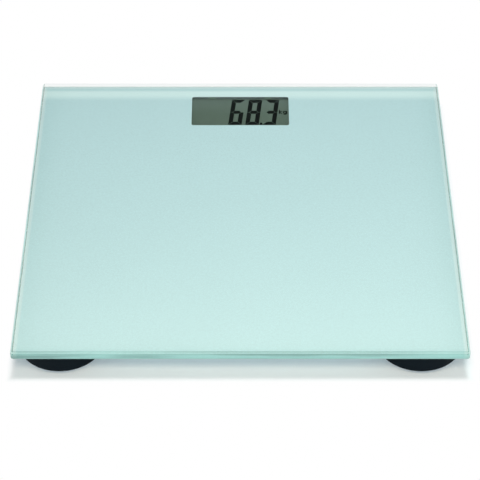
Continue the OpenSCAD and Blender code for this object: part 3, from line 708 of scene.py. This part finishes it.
class SCALE_OT_display(LooksOperator):
    """Makes the screen's finish and the dark segments of its reading"""

    bl_idname = "scale_looks.display"
    bl_label = "Display"

    def execute(self, context):
        s = context.scene.scale_display
        dress(self.film(s), "lcd_front_plate")
        dress(self.rear_glass(), "lcd_rear_plate")
        dress(metal("reflector_film", REFLECTOR, 0.4, (900, 4000, 900)), "lcd_reflector")
        dress(self.striped_rubber(), "contact_strips")
        ink = self.dark_ink(s)
        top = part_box("lcd_front_plate")[1].z
        add_piece("screen_digits", self.digits(s, top), [ink], "scale", "display_glass")
        add_piece("screen_unit", self.unit(top), [ink], "scale", "display_glass")
        return {"FINISHED"}

    def film(self, s):
        finish = Finish("screen_film", {"IOR": 1.49})
        lines = finish.noise(scale=1.0, detail=2, vector=finish.place((300, 5200, 300)))
        cloud = finish.noise(scale=28, detail=2)
        y = finish.axis(finish.place(), "Y")
        # Paler towards the back edge of the screen: painted light.
        base = finish.mix(finish.span(y, *FILM_PAINTED_LIGHT_FADE), rgba(s.film), rgba(s.film_back_painted_light))
        finish.vary(
            base_color=finish.mix(cloud * 0.3 + lines * 0.2, base, rgba(s.film, 0.8)),
            roughness=0.34 + lines * 0.12,
            normal=finish.bump(lines, 0.004 * MM, 0.4),
        )
        return finish

    def rear_glass(self):
        finish = Finish("display_rear_glass", {"IOR": 1.5})
        tone = finish.noise(scale=90, detail=2)
        finish.vary(base_color=finish.mix(tone, *REAR_GLASS), roughness=0.12 + tone * 0.1)
        return finish

    def striped_rubber(self):
        finish = Finish("striped_contact_rubber", {"Specular IOR Level": 0.25})
        stripe = (finish.axis(finish.place((2200, 1, 1)), "X") % 1.0) > 0.5
        dust = finish.noise(scale=900, detail=2)
        finish.vary(
            base_color=finish.mix(stripe, *CONTACT_STRIPES),
            roughness=0.6 + dust * 0.2,
            normal=finish.bump(dust, 0.03 * MM, 0.4),
        )
        return finish

    def dark_ink(self, s):
        finish = Finish("dark_segments", {"Specular IOR Level": 0.0})
        tone = finish.noise(scale=700, detail=2)
        finish.vary(base_color=finish.mix(tone, rgba(s.ink, 0.8), rgba(s.ink, 1.25)),
                    roughness=0.42 + tone * 0.12)
        return finish

    def digits(self, s, top):
        mesh = bmesh.new()
        left = s.first_x
        for mark in s.reading:
            if mark == ".":
                self.add_point(mesh, s, left, top)
                continue
            if mark not in SEGMENTS:
                raise RuntimeError(f"the screen can't show {mark!r}")
            for segment in SEGMENTS[mark]:
                self.add_plate(mesh, self.slanted(s, left, self.outline(s, segment)), top)
            left += s.digit_step
        return mesh

    def outline(self, s, segment):
        """Corners of one segment of an upright digit whose lower left corner is the origin."""
        w, h, v, l, g = s.digit_w, s.digit_h, s.upright, s.level / 2, s.gap / 2
        m = h / 2
        if segment in "ad":
            points = [(g, h), (w - g, h), (w - v - g, h - 2 * l), (v + g, h - 2 * l)]
        elif segment == "g":
            points = [(v / 2 + g, m), (v + g, m + l), (w - v - g, m + l), (w - v / 2 - g, m),
                      (w - v - g, m - l), (v + g, m - l)]
        else:
            points = [(0, h - g), (v, h - 2 * l - g), (v, m + l + g), (v / 2, m + g), (0, m + g)]
        if segment in "bc":
            points = [(w - x, y) for x, y in points]
        if segment in "cde":
            points = [(x, h - y) for x, y in points]
        return points

    def slanted(self, s, left, points):
        return [(left + x + SLANT * y, s.base_y + y) for x, y in points]

    def add_point(self, mesh, s, left, top):
        """The point between the digit that ends before left and the next one."""
        side, rise, cut = 1.7 * MM, 2.7 * MM, 0.35 * MM
        space = s.digit_step - s.digit_w
        x, y = left - space * 0.75 + 0.1 * MM, -0.25 * MM
        self.add_plate(mesh, self.slanted(s, x, [
            (cut, y), (side - cut, y), (side, y + cut), (side, y + rise - cut), (side - cut, y + rise),
            (cut, y + rise), (0, y + rise - cut), (0, y + cut),
        ]), top)

    def add_plate(self, mesh, points, top):
        """A thin plate with the given outline on the screen."""
        lower = [mesh.verts.new((x, y, top)) for x, y in points]
        upper = [mesh.verts.new((x, y, top + INK_HEIGHT)) for x, y in points]
        made = [mesh.faces.new(upper), mesh.faces.new(lower[::-1])]
        for i in range(len(points)):
            j = (i + 1) % len(points)
            made.append(mesh.faces.new((lower[i], lower[j], upper[j], upper[i])))
        bmesh.ops.recalc_face_normals(mesh, faces=made)

    def unit(self, top):
        mesh = bmesh.new()
        for stroke in self.unit_strokes():
            for start, end in zip(stroke, stroke[1:]):
                self.add_bar(mesh, Vector(start) * MM, Vector(end) * MM, top)
        return mesh

    def unit_strokes(self):
        """Strokes of the letters kg, in millimetres."""
        turn = 2 * math.pi / BOWL_STEPS
        bowl = [
            (BOWL_MIDDLE[0] + BOWL_RADII[0] * math.cos(turn * i),
             BOWL_MIDDLE[1] + BOWL_RADII[1] * math.sin(turn * i))
            for i in range(BOWL_STEPS + 1)
        ]
        return [
            [(27.8, 110.1), (28.1, 114.2)],
            [(29.5, 112.8), (28.0, 111.6), (29.5, 110.2)],
            bowl,
            [(33.0, 112.8), (32.9, 110.2), (32.3, 109.3), (31.0, 109.5)],
        ]

    def add_bar(self, mesh, start, end, top):
        along = (end - start).normalized() * LETTER_HALF
        aside = Vector((-along.y, along.x))
        start, end = start - along * LETTER_OVERRUN, end + along * LETTER_OVERRUN
        self.add_plate(mesh, [start + aside, start - aside, end - aside, end + aside], top)


class SCALE_OT_housing(LooksOperator):
    """Finishes the display frame, its cover and the battery door"""

    bl_idname = "scale_looks.housing"
    bl_label = "Display Housing"

    def execute(self, context):
        s = context.scene.scale_plastics
        charcoal = moulded("charcoal_moulding", s.charcoal, 0.52)
        dress(charcoal, "housing_cover")
        dress(moulded("grey_frame_moulding", s.frame, 0.5), "display_frame")
        round_off("battery_door", "lid", charcoal, "battery_door", "charcoal_plastic", LID_ROUND)
        return {"FINISHED"}


class SCALE_OT_button(LooksOperator):
    """Finishes the unit button and the switch behind it"""

    bl_idname = "scale_looks.button"
    bl_label = "Unit Button"

    def execute(self, context):
        grey = moulded("grey_button", context.scene.scale_plastics.button, 0.42)
        round_off("unit_button", "cap", grey, "unit_button", "button_plastic", CAP_ROUND)
        dress(moulded("switch_moulding", SWITCH_BLACK, 0.4), "tact_switch")
        dress(moulded("switch_plunger", PLUNGER_RED, 0.45), "switch_plunger")
        return {"FINISHED"}


class SCALE_OT_board(LooksOperator):
    """Finishes the circuit board, its chip and small components"""

    bl_idname = "scale_looks.board"
    bl_label = "Circuit Board"

    def execute(self, context):
        dress(self.green_board(), "circuit_board")
        dress(self.chip_resin(), "controller_chip")
        dress(self.ceramic(), "board_components")
        return {"FINISHED"}

    def green_board(self):
        finish = Finish("green_board", {"IOR": 1.5})
        tracks = finish.node("ShaderNodeTexBrick", {"offset": 0.37, "squash": 1.6}, {
            "Vector": finish.place((420, 420, 420)), "Scale": 1.0, "Mortar Size": 0.05,
        }, "Fac")
        weave = finish.noise(scale=1800, detail=2)
        finish.vary(
            base_color=finish.mix(tracks * 0.55, finish.mix(weave, *BOARD_MASK), BOARD_TRACKS),
            roughness=0.3 + weave * 0.15,
            normal=finish.bump(tracks, 0.03 * MM, 0.6),
        )
        return finish

    def chip_resin(self):
        finish = Finish("chip_resin", {"IOR": 1.55})
        lump = finish.noise(scale=260, detail=3)
        finish.vary(
            base_color=finish.mix(lump, *CHIP_RESIN),
            roughness=0.14 + lump * 0.16,
            normal=finish.bump(lump, 0.2 * MM, 0.4),
        )
        return finish

    def ceramic(self):
        """Ceramic bodies with tinned ends."""
        finish = Finish("small_components", {"IOR": 1.6})
        ends = finish.span(finish.noise(scale=500, detail=1), 0.52, 0.56)
        speck = finish.noise(scale=4000, detail=2)
        finish.vary(
            base_color=finish.mix(ends, *CERAMIC_AND_TIN),
            metallic=ends * 0.9,
            roughness=0.36 + speck * 0.12,
            normal=finish.bump(speck, 0.02 * MM, 0.5),
        )
        return finish


class SCALE_OT_battery(LooksOperator):
    """Finishes the coin cell and its two contacts"""

    bl_idname = "scale_looks.battery"
    bl_label = "Battery"

    def execute(self, context):
        round_off("coin_cell", "can", self.turned_can(), "scale", "cell_can", CAN_ROUND)
        dress(metal("plated_contacts", CONTACT_PLATING, 0.3, (300, 5000, 300)),
              "contact_plus", "contact_minus")
        return {"FINISHED"}

    def turned_can(self):
        """Steel with turning marks round the middle of the cell, and finger marks."""
        low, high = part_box("coin_cell")
        finish = Finish("coin_cell_can", {"Metallic": 1.0})
        place = finish.place(shift=-(low + high) / 2)
        radius = finish.node("ShaderNodeVectorMath", {"operation": "LENGTH"}, {0: place}, "Value")
        turned = finish.node("ShaderNodeTexNoise", {"noise_dimensions": "1D"},
                             {"W": radius * 9000, "Scale": 1.0, "Detail": 3.0}, "Fac")
        finger = finish.noise(scale=140, detail=3)
        finish.vary(
            base_color=finish.mix(finger, *CELL_CAN),
            roughness=0.2 + turned * 0.18 + finger * 0.06,
            normal=finish.bump(turned, 0.01 * MM, 0.5, finish.soft_edges(CAN_ROUND)),
        )
        return finish


class SCALE_OT_screws(LooksOperator):
    """Finishes the screws of the cover and of the board"""

    bl_idname = "scale_looks.screws"
    bl_label = "Screws"

    def execute(self, context):
        dress(metal("zinc_plated_screws", SCREW_ZINC, 0.34, (2400, 2400, 700)),
              "cover_screws", "board_screws")
        return {"FINISHED"}


class SCALE_OT_feet(LooksOperator):
    """Finishes the feet, their seats and their rubber pads"""

    bl_idname = "scale_looks.feet"
    bl_label = "Feet"

    def execute(self, context):
        s = context.scene.scale_plastics
        seat = moulded("black_seat_moulding", s.black, 0.38, grain=2200, gloss=0.04)
        foot = moulded("black_foot_moulding", s.black, 0.32, grain=2200, gloss=0.04)
        dress(seat, *("foot_seat_" + f for f in FEET))
        dress(foot, *("foot_" + f for f in FEET))
        rubber = self.rubber(s)
        for f in FEET:
            round_off("foot_pad_" + f, "rubber", rubber, f + "_foot", "foot_rubber", RUBBER_ROUND)
        return {"FINISHED"}

    def rubber(self, s):
        """Black rubber with a fine grain and dust from the floor."""
        finish = Finish("foot_rubber", {"Specular IOR Level": 0.3, "Sheen Weight": 0.15})
        grain = finish.noise(scale=3000, detail=3)
        dust = finish.noise(scale=220, detail=4)
        finish.vary(
            base_color=finish.mix(finish.span(dust, 0.5, 0.8, 0, 0.5), rgba(s.rubber), FLOOR_DUST),
            roughness=0.68 + dust * 0.2,
            normal=finish.bump(grain, 0.04 * MM, 0.5, finish.soft_edges(RUBBER_ROUND)),
        )
        return finish


class SCALE_OT_load_cells(LooksOperator):
    """Finishes the steel load cells and the sealed gauges on them"""

    bl_idname = "scale_looks.load_cells"
    bl_label = "Load Cells"

    def execute(self, context):
        dress(metal("load_cell_steel", CELL_STEEL, 0.32, (120, 3600, 120)),
              *("load_cell_" + f for f in FEET))
        seal = self.sealant()
        for f in FEET:
            round_off("strain_gauge_" + f, "seal", seal, "scale", "gauge_sealant", SEAL_ROUND)
        return {"FINISHED"}

    def sealant(self):
        finish = Finish("gauge_sealant", {"IOR": 1.42})
        lump = finish.noise(scale=420, detail=3)
        finish.vary(
            base_color=finish.mix(lump, *GAUGE_SEAL),
            roughness=0.28 + lump * 0.2,
            normal=finish.bump(lump, 0.4 * MM, 0.5, finish.soft_edges(0.4 * MM)),
        )
        return finish


class SCALE_OT_leads(LooksOperator):
    """Makes smooth leads and finishes their clips"""

    bl_idname = "scale_looks.leads"
    bl_label = "Leads and Clips"

    def execute(self, context):
        s = context.scene.scale_wiring
        for name in ("red", "white", "black"):
            mesh = welded(name + "_leads")
            smooth(mesh, BROAD)
            add_piece(name + "_wires", mesh, [self.insulation(name, getattr(s, name))], "scale",
                      name + "_insulation", name + "_leads")
        nylon = moulded("nylon_clips", context.scene.scale_plastics.nylon, 0.4, grain=1800)
        dress(nylon, "wire_clips")
        return {"FINISHED"}

    def insulation(self, name, shade):
        finish = Finish(name + "_wire_insulation", {"IOR": 1.5})
        drawn = finish.noise(scale=900, detail=3)
        bend = finish.noise(scale=70, detail=2)
        finish.vary(
            base_color=finish.mix(bend, rgba(shade, 0.85), rgba(shade, 1.12)),
            roughness=0.34 + drawn * 0.16,
            normal=finish.bump(drawn, 0.02 * MM, 0.4),
        )
        return finish


class SCALE_OT_stage(LooksOperator):
    """Makes the floor, the lamps, the room's light and the camera"""

    bl_idname = "scale_looks.stage"
    bl_label = "Stage"

    def execute(self, context):
        scene = context.scene
        s = scene.scale_stage
        scene.view_settings.view_transform = "Standard"
        self.add_floor(s)
        self.add_lamp(scene, "key_lamp", KEY_PLACE, KEY_SIZE, s.key, s.key_tint)
        self.add_lamp(scene, "front_lamp", FRONT_PLACE, FRONT_SIZE, s.front, s.front_tint)
        self.light_room(scene, s)
        self.add_camera(scene)
        return {"FINISHED"}

    def add_floor(self, s):
        mesh = bmesh.new()
        mesh.faces.new([mesh.verts.new((x * FLOOR_REACH, y * FLOOR_REACH, 0))
                        for x, y in ((-1, -1), (1, -1), (1, 1), (-1, 1))])
        add_object("floor", mesh, [self.sheet(s)])

    def sheet(self, s):
        """Pale sheet over a light table, white where it is seen beyond the platform's outline."""
        finish = Finish("white_sheet", {
            "Base Color": rgba(s.floor), "Roughness": 0.9, "Specular IOR Level": 0.0,
        })
        glow = finish.node("ShaderNodeBsdfTranslucent", {}, {"Color": rgba(s.floor)})
        behind = finish.node("ShaderNodeNewGeometry", {}, {}, "Backfacing")
        through = behind + finish.light_path("Is Shadow Ray")
        shown = finish.mix_shaders(s.glow, finish.surface(), glow)
        shown = finish.mix_shaders(through, shown, finish.clear())
        aside = finish.aside(finish.place(OUTLINE_STRETCH, OUTLINE_SHIFT))
        far = finish.node("ShaderNodeMath", {"operation": "MAXIMUM"},
                          {0: finish.axis(aside, "X"), 1: finish.axis(aside, "Y")})
        rays = ("Is Camera Ray", "Is Glossy Ray", "Is Transmission Ray")
        seen = sum(finish.light_path(ray) for ray in rays)
        white = finish.node("ShaderNodeEmission", {}, {})
        beyond = seen * finish.span(far, *OUTLINE_FADE) * (1 - behind)
        finish.show(finish.mix_shaders(beyond, shown, white))
        return finish

    def add_lamp(self, scene, name, place, size, watts, tint):
        """A lamp that looks straight down."""
        lamp = bpy.data.lights.new(name, "AREA")
        lamp.shape = "RECTANGLE"
        lamp.size, lamp.size_y = size
        lamp.energy = watts
        lamp.color = tint
        made = bpy.data.objects.new(name, lamp)
        made.location = place
        made.visible_camera = made.visible_glossy = False
        made.rotation_mode = "QUATERNION"
        made.rotation_quaternion = DOWN.to_track_quat("-Z", "Y")
        scene.collection.objects.link(made)

    def light_room(self, scene, s):
        """Pale backdrop below a dark room, and white to the camera."""
        world = bpy.data.worlds.new("room")
        world.use_nodes = True
        room = NodeMaker(world.node_tree)
        rise = room.axis(room.node("ShaderNodeTexCoord", {}, {}, "Generated"), "Z")
        above = room.mix(room.span(rise, *BACKDROP_FADE), rgba(s.sweep), rgba(s.sky))
        light = room.mix(room.span(rise, *HORIZON), rgba(s.below), above)
        shown = room.mix(room.light_path("Is Camera Ray"), light, WHITE)
        room.tree.links.new(shown.socket, room.tree.nodes["Background"].inputs["Color"])
        scene.world = world

    def add_camera(self, scene):
        data = bpy.data.cameras.new("camera")
        data.sensor_width = CAMERA_SENSOR
        data.lens = CAMERA_LENS
        data.clip_start, data.clip_end = CAMERA_CLIP
        camera = bpy.data.objects.new("camera", data)
        camera.location = CAMERA_PLACE
        camera.rotation_mode = "QUATERNION"
        camera.rotation_quaternion = (CAMERA_TARGET - CAMERA_PLACE).to_track_quat("-Z", "Y")
        scene.collection.objects.link(camera)
        scene.camera = camera


OPERATORS = (
    SCALE_OT_platform, SCALE_OT_coat, SCALE_OT_tapes, SCALE_OT_display, SCALE_OT_housing,
    SCALE_OT_button, SCALE_OT_board, SCALE_OT_battery, SCALE_OT_screws, SCALE_OT_feet,
    SCALE_OT_load_cells, SCALE_OT_leads, SCALE_OT_stage,
)


class SCALE_PT_looks(bpy.types.Panel):
    """Lists the sizes, the colours and the steps that build the looks"""

    bl_idname = "SCALE_PT_looks"
    bl_label = "Glass Body Scale"
    bl_space_type = "VIEW_3D"
    bl_region_type = "UI"
    bl_category = "Scale"

    def draw(self, context):
        for name, group in GROUPS.items():
            box = self.layout.box()
            box.label(text=name.replace("_", " ").title())
            for key in group.__annotations__:
                box.prop(getattr(context.scene, name), key)
        for operator in OPERATORS:
            self.layout.operator(operator.bl_idname)


def register():
    for name, group in GROUPS.items():
        bpy.utils.register_class(group)
        setattr(bpy.types.Scene, name, PointerProperty(type=group))
    for operator in OPERATORS:
        bpy.utils.register_class(operator)
    bpy.utils.register_class(SCALE_PT_looks)


def unregister():
    bpy.utils.unregister_class(SCALE_PT_looks)
    for operator in reversed(OPERATORS):
        bpy.utils.unregister_class(operator)
    for name, group in GROUPS.items():
        delattr(bpy.types.Scene, name)
        bpy.utils.unregister_class(group)


def main():
    register()
    for operator in OPERATORS:
        step = operator.bl_idname.split(".")[1]
        getattr(bpy.ops.scale_looks, step)()


if __name__ == "__main__":
    main()
